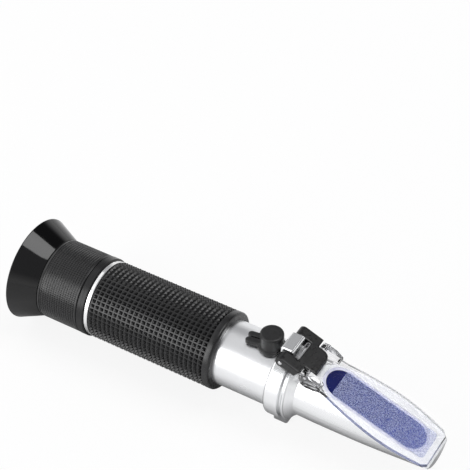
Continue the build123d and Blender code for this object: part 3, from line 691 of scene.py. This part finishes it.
class GripSettings(bpy.types.PropertyGroup):
    """Rubber grip sleeve."""

    around: whole("Studs around", "Studs in one ring", 50, 8)
    rows: whole("Rings of studs", "Rings along the sleeve", 25, 2)
    groove: length("Groove", "Width of the flat ground between two studs", 0.46)
    depth: length("Stud height", "Height of a stud above the ground", 0.9)
    top: share_of("Top share", "Flat top of a stud as a share of its foot", 0.24)
    band: length("Front band", "Width of the smooth band at the front", 2.75)
    play: length("Play", "Room between the sleeve and the barrel", 0.02)
    rear_ease: rounding("rear edge", 0.1)
    band_ease: rounding("band's rear edge", 0.25)
    front_ease: rounding("front edge", 0.9)
    colour: tint("Rubber", "Colour of the rubber", "#0B0B0C")
    worn: tint("Handled rubber", "Colour where it has been handled", "#131315")


class RingSettings(bpy.types.PropertyGroup):
    """Focus ring with its fine square knurl."""

    around: whole("Studs around", "Studs in one ring", 118, 8)
    rows: whole("Rings of studs", "Rings along the ring", 15, 2)
    pitch: length("Ring pitch", "Distance between two rings of studs", 1.03)
    depth: length("Knurl depth", "Depth of the knurl", 0.22)
    stud_length: share_of("Stud length", "Stud along the axis as a share of the pitch", 0.78)
    stud_width: share_of("Stud width", "Stud round the ring as a share of its room", 0.74)
    top: share_of("Top share", "Flat top of a stud as a share of its foot", 0.6)
    ramp: length("Ramp", "Length of the ramp at both ends of the knurl", 0.1)
    band: length("Front band", "Smooth band in front of the knurl", 0.9)
    taper: length("Taper", "How much the rear edge is smaller than the ring", 0.15)
    bore_step: length("Bore step", "How much the bore is smaller than the grip", 1.84)
    seat_depth: length("Seat depth", "How far the cup's seat lies below the ring", 1.2)
    lip_depth: length("Lip depth", "How far the rear lip reaches in from the seat", 1.1)
    lip_length: length("Lip length", "Length of the rear lip", 2.9)
    cup_gap: length("Cup gap", "Gap between the ring and the eyecup", 0.05)
    seat_ease: rounding("seat's edge", 0.2)
    rear_ease: rounding("rear edge", 0.35)
    front_ease: rounding("front edge", 0.4)
    colour: tint("Plastic", "Colour of the ring", "#131314")


class EyecupSettings(bpy.types.PropertyGroup):
    """Soft eyecup."""

    wall: length("Wall", "Thickness of the flared wall", 1.3)
    neck_step: length("Neck step", "How much the neck is smaller than the ring", 0.1)
    seat_depth: length("Seat depth", "Thickness of the neck over its seat", 1.08)
    seat_length: length("Seat length", "Length of the seat on the ring", 3.2)
    lip: rounding("rim that meets the eye", 0.5)
    neck_ease: rounding("neck's edge", 0.25)
    inner_ease: rounding("flare's inner edge", 0.6)
    seat_ease: rounding("seat's edge", 0.1)
    colour: tint("Vinyl", "Colour of the eyecup", "#0C0C0D")


class MetalSettings(bpy.types.PropertyGroup):
    """Colours and edges of the metal parts."""

    satin: tint("Barrel", "Satin anodised aluminium", "#EFF0F1")
    cast: tint("Casting", "Plated collar and prism housing", "#F1F2F3")
    face: tint("Blasted face", "Dark grains of the blasted slanted face", "#D2D3D6")
    trim: tint("Trim ring", "Polished ring behind the grip", "#F6F6F6")
    black: tint("Black parts", "Black anodised parts", "#1A1A1B")
    steel: tint("Steel", "Pins, screws and the leaf spring", "#CFCFD0")
    brass: tint("Brass", "Bush, screw and mount", "#C8A45C")
    tarnish: tint("Tarnish", "Tarnished spots of the brass", "#8A6A3A")
    bimetal: tint("Bimetal", "Lower side of the bimetal strip", "#A8A49C")
    bimetal_top: tint("Bimetal top", "Upper side of the bimetal strip", "#C9B27A")
    collar_edge: rounding("collar's edges", 0.25)
    housing_edge: rounding("prism housing's edges", 0.15)


class HingeSettings(bpy.types.PropertyGroup):
    """Bracket and calibration cap."""

    bracket: tint("Bracket", "Colour of the bracket", "#131314")
    cap: tint("Cap", "Colour of the calibration cap", "#101011")
    cap_worn: tint("Dusty cap", "Colour of the cap's high spots", "#1A1A1B")
    bracket_skin: length("Bracket skin", "Size of the bracket's mesh faces", 0.2)
    bracket_rounds: whole("Bracket rounds", "How often the bracket is smoothed", 8, 0)
    cap_skin: length("Cap skin", "Size of the cap's mesh faces", 0.14)
    cap_rounds: whole("Cap rounds", "How often the cap is smoothed", 16, 0)


class PlateSettings(bpy.types.PropertyGroup):
    """Daylight plate and diffuser."""

    clear: tint("Acrylic", "Tint of the clear plate", "#FCFCFD")
    frost: tint("Frost", "Bright grains of the diffuser", "#D6DDFA")
    pits: tint("Pits", "Clear pits between the grains", "#7C8CD8")
    edge: rounding("plate's edges", 0.2)


class PrismSettings(bpy.types.PropertyGroup):
    """Prism, its seal and bed, the lenses and the reticle."""

    deep: tint("Prism, dark", "Colour of the prism at its rear", "#0C1350")
    light: tint("Prism, light", "Colour of the prism at its tip", "#1B3088")
    seal: tint("Seal", "Colour of the seal round the prism", "#EAEAF3")
    seal_cloud: tint("Seal clouds", "Darker clouds in the seal", "#C6C7DC")
    bed: tint("Bed", "Colour of the foam bed", "#161617")
    lens: tint("Lens", "Tint of the lenses", "#F4FBFC")
    ink: tint("Ink", "Colour of the reticle's scale", "#101018")
    pitch: length("Scale pitch", "Distance between two lines of the scale", 0.25)
    extent: length("Scale extent", "How far the scale runs from the axis", 4.0)


class StageSettings(bpy.types.PropertyGroup):
    """Floor, lamps and camera."""

    floor: tint("Floor", "Colour of the floor", "#FCFCFC")
    glow: share_of("Glow", "How much the floor shines by itself where it is seen", 0.88)
    mirrored: share_of("Mirrored glow", "How much of that glow shiny parts mirror", 0.1)
    shade: share_of("Mirrored shade", "How dark they mirror the floor under the object", 0.65)
    shade_from: length("Shade from", "Where that shade begins to fade", 5)
    shade_to: length("Shade to", "Where that shade ends", 36)
    lamps: real("Lamps", "Brightness of all lamps together", 1.0, min=0)
    azimuth: turn_by("Azimuth", "Camera's turn about the object", 30.709)
    elevation: turn_by("Elevation", "Camera's height above level", 43.139)
    distance: length("Distance", "Camera to the middle of the view", 622)
    focal: length("Focal length", "For a sensor 36 mm wide", 133.73)
    left: length("Left", "Middle of the view, left of the measured origin", 17.36)
    above: length("Above", "Middle of the view, above the measured origin", 49.98)


# Half the side of the square floor, in metres
FLOOR_HALF = 1.5
# How far the floor lies below the object, in mm, so that the two don't fight for the same spot
FLOOR_DROP = 0.05
# From the lamps to the object, in metres
LAMP_DISTANCE = 1.5
# Name, azimuth and elevation in degrees, width and height in metres, radiance, and the azimuth
# that the height runs along, or None where it rises
SOFTBOXES = (
    # It lies along the line in which the eyecup mirrors it
    ("softbox_overhead", 130, 72, 0.6, 0.98, 4.8, 165),
    ("softbox_front", -32, 21, 0.68, 1.25, 3.6, None),
    ("softbox_side", -88, 45, 1.6, 1.0, 1.0, None),
)
# Levels of the backdrop's light: what it sheds on the object, its ceiling and its black flag
SHED = (0.36, 0.36, 0.37, 1)
CEILING = (0.4, 0.4, 0.41, 1)
FLAG = (0.06, 0.06, 0.06, 1)
FLAG_AZIMUTH, FLAG_ELEVATION = 165, 42


# Operators, one for each piece or group of like pieces


class Step:
    """What the operators share: each makes its pieces from its own group of settings."""

    def execute(self, context):
        self.make(getattr(context.scene, "refractometer_" + self.settings))
        return {"FINISHED"}


class REFRACTOMETER_OT_grip_sleeve(Step, bpy.types.Operator):
    """Make the rubber grip sleeve with its rings of studs"""

    bl_idname = "refractometer.grip_sleeve"
    bl_label = "Grip sleeve"
    settings = "grip"

    def make(self, grip):
        low, high = place("grip_sleeve")
        outer = outer_radius("grip_sleeve")
        bore = outer_radius("barrel_tube") + grip.play
        ground = outer - grip.depth
        rear, front = low.x, high.x
        shoulder = front - grip.band
        sleeve = turned(
            "grip_sleeve_ground",
            [
                (rear, bore, 0),
                (rear, ground, grip.rear_ease),
                (shoulder, ground, 0),
                (shoulder, outer, grip.band_ease),
                (front, outer, grip.front_ease),
                (front, bore, 0),
            ],
        )
        pitch = (shoulder - rear - grip.groove) / grip.rows
        around = 2 * math.pi * ground / grip.around
        size = (pitch - grip.groove, around - grip.groove, grip.depth + FOOT)
        finish = grip_rubber(grip.colour, grip.worn)
        first = rear + (grip.groove + pitch) / 2
        piece = studded("grip_sleeve_studded", sleeve, finish, grip, first, pitch, ground, size)
        stand_in(piece, "body", "grip_rubber", "grip_sleeve")


class REFRACTOMETER_OT_focus_ring(Step, bpy.types.Operator):
    """Make the focus ring with its fine square knurl"""

    bl_idname = "refractometer.focus_ring"
    bl_label = "Focus ring"
    settings = "ring"

    def make(self, ring):
        low, high = place("focus_ring")
        outer = outer_radius("focus_ring")
        bore = outer_radius("grip_sleeve") - ring.bore_step
        seat_r = outer - ring.seat_depth
        lip_bore = seat_r - ring.lip_depth
        lip_front = low.x + ring.lip_length
        rear, front = place("eyecup")[1].x + ring.cup_gap, high.x
        end = front - ring.band
        start = end - ring.rows * ring.pitch
        ground = outer - ring.depth
        sleeve = turned(
            "focus_ring_ground",
            [
                (low.x, lip_bore, 0),
                (low.x, seat_r, ring.seat_ease),
                (rear, seat_r, 0),
                (rear, outer - ring.taper, ring.rear_ease),
                (start - ring.ramp, outer, 0),
                (start, ground, 0),
                (end, ground, 0),
                (end + ring.ramp, outer, 0),
                (front, outer, ring.front_ease),
                (front, bore, 0),
                (lip_front, bore, 0),
                (lip_front, lip_bore, 0),
            ],
            steps=4,
        )
        around = 2 * math.pi * ground / ring.around
        size = (ring.pitch * ring.stud_length, around * ring.stud_width, ring.depth + FOOT)
        finish = ring_plastic(ring.colour)
        first = start + ring.pitch / 2
        piece = studded("focus_ring_knurled", sleeve, finish, ring, first, ring.pitch, ground, size)
        stand_in(piece, "focus", "ring_black", "focus_ring")


class REFRACTOMETER_OT_eyecup(Step, bpy.types.Operator):
    """Make the flared soft eyecup"""

    bl_idname = "refractometer.eyecup"
    bl_label = "Eyecup"
    settings = "eyecup"

    def make(self, cup):
        low, high = place("eyecup")
        mouth, front = low.x, high.x
        mouth_r = outer_radius("eyecup")
        neck_r = outer_radius("focus_ring") - cup.neck_step
        slope = (mouth_r - neck_r) / (front - mouth)
        slant = cup.wall * math.sqrt(1 + slope**2)
        seat_r = neck_r - cup.seat_depth
        shoulder = front - cup.seat_length
        shoulder_r = neck_r + slope * cup.seat_length - slant
        mesh = turned(
            "eyecup_flared",
            [
                (front, seat_r, 0),
                (front, neck_r, cup.neck_ease),
                (mouth, mouth_r, cup.lip),
                (mouth, mouth_r - slant, cup.lip),
                (shoulder, shoulder_r, cup.inner_ease),
                (shoulder, seat_r, cup.seat_ease),
            ],
            around=256,
            steps=8,
        )
        piece = new_piece("eyecup_flared", mesh, eyecup_rubber(cup.colour))
        stand_in(piece, "focus", "soft_rubber", "eyecup")


BLACK_PARTS = (
    "focus_collar", "focus_keeper", "ocular_cell", "lens_spacer", "ocular_nut", "reticle_mount",
    "reticle_nut", "light_baffle", "objective_cell", "objective_nut", "light_shield",
)
STEEL_PARTS = (
    "drive_pin", "bimetal_screws", "collar_screws", "hinge_pin", "leaf_spring", "plate_pivots",
)
BRASS_PARTS = ("bimetal_mount", "calibration_bush", "calibration_screw")
LENSES = ("eye_lens", "field_lens", "objective_lens")


class REFRACTOMETER_OT_metal(Step, bpy.types.Operator):
    """Finish the barrel, the trim, the castings and the small metal parts"""

    bl_idname = "refractometer.metal"
    bl_label = "Metal parts"
    settings = "metal"

    def make(self, metal):
        coat_node("barrel_tube", satin_aluminium(metal.satin))
        coat_node("trim_ring", polished_trim(metal.trim))
        casting = blasted_casting(metal.cast, metal.face)
        collar = edged_copy("hinge_collar", "hinge_collar_edged", casting, metal.collar_edge)
        stand_in(collar, "body", "cast_metal", "hinge_collar")
        housing = edged_copy("prism_housing", "prism_housing_edged", casting, metal.housing_edge)
        stand_in(housing, "body", "cast_metal", "prism_housing")
        coat_node("bimetal_strip", rolled_bimetal(metal.bimetal, metal.bimetal_top))
        for group, finish in (
            (BLACK_PARTS, black_anodised(metal.black)),
            (STEEL_PARTS, bright_steel(metal.steel)),
            (BRASS_PARTS, turned_brass(metal.brass, metal.tarnish)),
        ):
            for node in group:
                coat_node(node, finish)


class REFRACTOMETER_OT_hinge(Step, bpy.types.Operator):
    """Make the bracket and the soft calibration cap"""

    bl_idname = "refractometer.hinge"
    bl_label = "Bracket and cap"
    settings = "hinge"

    def make(self, hinge):
        finish = bracket_plastic(hinge.bracket)
        skin, rounds = hinge.bracket_skin, hinge.bracket_rounds
        bracket = moulded_copy("hinge_bracket", "hinge_bracket_moulded", finish, skin, rounds)
        stand_in(bracket, "bracket", "bracket_plastic", "hinge_bracket")
        finish = cap_rubber(hinge.cap, hinge.cap_worn)
        skin, rounds = hinge.cap_skin, hinge.cap_rounds
        cap = moulded_copy("calibration_cap", "calibration_cap_moulded", finish, skin, rounds)
        stand_in(cap, "cap", "cap_rubber", "calibration_cap")


class REFRACTOMETER_OT_plate(Step, bpy.types.Operator):
    """Make the clear daylight plate and finish its diffuser"""

    bl_idname = "refractometer.plate"
    bl_label = "Daylight plate"
    settings = "plate"

    def make(self, plate):
        finish = clear_acrylic(plate.clear)
        clear = edged_copy(
            "daylight_plate", "daylight_plate_clear", finish, plate.edge, filler="diffuser_pad"
        )
        stand_in(clear, "cover", "clear_plastic", "daylight_plate")
        coat_node("diffuser_pad", frosted_acrylic(plate.frost, plate.pits))


class REFRACTOMETER_OT_prism(Step, bpy.types.Operator):
    """Finish the prism, its seal and bed, the lenses and the reticle"""

    bl_idname = "refractometer.prism"
    bl_label = "Prism and lenses"
    settings = "prism"

    def make(self, prism):
        coat_node("prism", prism_glass(prism.deep, prism.light))
        coat_node("prism_seal", seal_cement(prism.seal, prism.seal_cloud))
        coat_node("prism_bed", bed_foam(prism.bed))
        glass = coated_glass(prism.lens)
        for node in LENSES:
            coat_node(node, glass)
        etched = etched_glass(prism.lens, prism.ink, prism.pitch, prism.extent)
        coat_node("reticle_glass", etched)


def direction(azimuth, elevation):
    """Unit vector towards an azimuth (0 is -Y, 90 is +X) and elevation in degrees."""
    a, e = math.radians(azimuth), math.radians(elevation)
    return Vector((math.sin(a) * math.cos(e), -math.cos(a) * math.cos(e), math.sin(e)))


def softbox(level, name, azimuth, elevation, width, height, radiance, heading):
    """An even area lamp that faces the object, as a row of SOFTBOXES says, times level."""
    lamp = bpy.data.lights.new(name, "AREA")
    lamp.shape = "RECTANGLE"
    lamp.size = width
    lamp.size_y = height
    lamp.energy = radiance * level * math.pi * width * height
    box = bpy.data.objects.new(name, lamp)
    bpy.context.scene.collection.objects.link(box)
    away = direction(azimuth, elevation)
    rising = Vector((0, 0, 1)) if heading is None else direction(heading, 0)
    across = rising.cross(away).normalized()
    turn = Matrix((across, away.cross(across), away)).transposed()
    spot = Vector((0, 0, AXIS_Z * MM)) + away * LAMP_DISTANCE
    box.matrix_world = Matrix.Translation(spot) @ turn.to_4x4()
    box.visible_camera = False


def seen_rays(tree, mirrored=1.0):
    """1 where the camera or a clear piece looks, mirrored where a shiny part mirrors, else 0."""
    path = add(tree, "ShaderNodeLightPath").outputs
    total = calc(tree, "MULTIPLY", path["Is Glossy Ray"], mirrored)
    for kind in ("Is Transmission Ray", "Is Camera Ray"):
        total = calc(tree, "MAXIMUM", path[kind], total)
    return total


class REFRACTOMETER_OT_stage(Step, bpy.types.Operator):
    """Lay the floor, hang the softboxes and set up the camera"""

    bl_idname = "refractometer.stage"
    bl_label = "Floor, lamps and camera"
    settings = "stage"

    def make(self, stage):
        scene = bpy.context.scene
        self.lay_floor(stage)
        self.set_world(scene)
        for row in SOFTBOXES:
            softbox(stage.lamps, *row)
        self.set_camera(scene, stage)
        scene.view_settings.view_transform = "Standard"

    def lay_floor(self, stage):
        """White paper that shines where it is looked at, and still takes the object's shadow."""
        mesh = bpy.data.meshes.new("floor")
        corners = [(-1, -1), (1, -1), (1, 1), (-1, 1)]
        spots = [(x * FLOOR_HALF, y * FLOOR_HALF, -FLOOR_DROP * MM) for x, y in corners]
        mesh.from_pydata(spots, [], [(0, 1, 2, 3)])
        finish, tree, shader = new_finish("white paper floor", stage.floor, roughness=0.9)
        vary_roughness(tree, shader, speckle(tree, size=40.0), 0.85, 0.95)
        glow = add(tree, "ShaderNodeEmission", {"Color": (1, 1, 1, 1), "Strength": 1.0})
        # Shiny parts mirror the lit paper with its shadow, which greys the barrel's underside
        share = calc(tree, "MULTIPLY", seen_rays(tree, stage.mirrored), stage.glow)
        paper = show(tree, share, shader, glow)
        # Painted shadow: a black glow, seen only in what shiny parts mirror, is mixed into the
        # floor under the object
        # What shiny parts mirror of the paper darkens under the object, as in the photograph
        aside = calc(tree, "ABSOLUTE", spot_on_piece(tree)[1])
        fade = stage.shade_from * MM, stage.shade_to * MM
        under = between(tree, aside, stage.shade, 0.0, *fade)
        glossy = add(tree, "ShaderNodeLightPath").outputs["Is Glossy Ray"]
        under = calc(tree, "MULTIPLY", under, glossy)
        dark = add(tree, "ShaderNodeEmission", {"Color": (0, 0, 0, 1), "Strength": 0.0})
        show(tree, under, paper, dark)
        new_piece("floor", mesh, finish)

    def set_world(self, scene):
        """White backdrop that sheds an even grey light on the object."""
        world = scene.world or bpy.data.worlds.new("studio")
        scene.world = world
        world.use_nodes = True
        tree = world.node_tree
        tree.nodes.clear()
        where = add(tree, "ShaderNodeTexCoord").outputs["Generated"]
        height = add(tree, "ShaderNodeSeparateXYZ", {0: where}).outputs[2]
        # The backdrop is white up to 6 degrees and greys off to a dim ceiling at 24 degrees
        ceiling = between(tree, height, 0.0, 1.0, 0.1, 0.4)
        shown = blend_colours(tree, ceiling, (1, 1, 1, 1), CEILING)
        # A black flag behind the object keeps the prism and the eyecup's top dark. It is full
        # within 18 degrees of its middle and gone at 30
        middle = direction(FLAG_AZIMUTH, FLAG_ELEVATION)
        flag = add(tree, "ShaderNodeVectorMath", {0: where, 1: middle}, operation="DOT_PRODUCT")
        flagged = between(tree, flag.outputs["Value"], 0.0, 1.0, 0.87, 0.95)
        shown = blend_colours(tree, flagged, shown, FLAG)
        sky = blend_colours(tree, seen_rays(tree), SHED, shown)
        background = add(tree, "ShaderNodeBackground", {"Color": sky, "Strength": 1.0})
        add(tree, "ShaderNodeOutputWorld", {"Surface": background.outputs[0]})

    def set_camera(self, scene, stage):
        """The photograph's camera."""
        lens = bpy.data.cameras.new("camera")
        lens.lens = stage.focal
        lens.sensor_width = 36
        # Nearer than the object ever comes
        lens.clip_start = 0.05
        camera = bpy.data.objects.new("camera", lens)
        scene.collection.objects.link(camera)
        back = direction(math.degrees(stage.azimuth), math.degrees(stage.elevation))
        right = Vector((math.cos(stage.azimuth), math.sin(stage.azimuth), 0))
        up = back.cross(right)
        aim = Vector((ORIGIN_X, AXIS_Y, AXIS_Z)) - right * stage.left + up * stage.above
        turn = Matrix((right, up, back)).transposed()
        spot = (aim + back * stage.distance) * MM
        camera.matrix_world = Matrix.Translation(spot) @ turn.to_4x4()
        scene.camera = camera


STEPS = ("grip_sleeve", "focus_ring", "eyecup", "metal", "hinge", "plate", "prism", "stage")


class REFRACTOMETER_PT_panel(bpy.types.Panel):
    """Steps that dress the refractometer, with their settings"""

    bl_idname = "REFRACTOMETER_PT_panel"
    bl_label = "Brix refractometer"
    bl_space_type = "VIEW_3D"
    bl_region_type = "UI"
    bl_category = "Refractometer"

    def draw(self, context):
        for step in STEPS:
            self.layout.operator("refractometer." + step)
        for name, group in GROUPS.items():
            box = self.layout.box()
            box.label(text=group.__doc__)
            settings = getattr(context.scene, "refractometer_" + name)
            for key in group.__annotations__:
                box.prop(settings, key)


GROUPS = {
    "grip": GripSettings,
    "ring": RingSettings,
    "eyecup": EyecupSettings,
    "metal": MetalSettings,
    "hinge": HingeSettings,
    "plate": PlateSettings,
    "prism": PrismSettings,
    "stage": StageSettings,
}
CLASSES = (*GROUPS.values(), *Step.__subclasses__(), REFRACTOMETER_PT_panel)


def register():
    for item in CLASSES:
        bpy.utils.register_class(item)
    for name, group in GROUPS.items():
        setattr(bpy.types.Scene, "refractometer_" + name, PointerProperty(type=group))


def unregister():
    for name in GROUPS:
        delattr(bpy.types.Scene, "refractometer_" + name)
    for item in reversed(CLASSES):
        bpy.utils.unregister_class(item)


def main():
    register()
    for step in STEPS:
        getattr(bpy.ops.refractometer, step)()


if __name__ == "__main__":
    main()
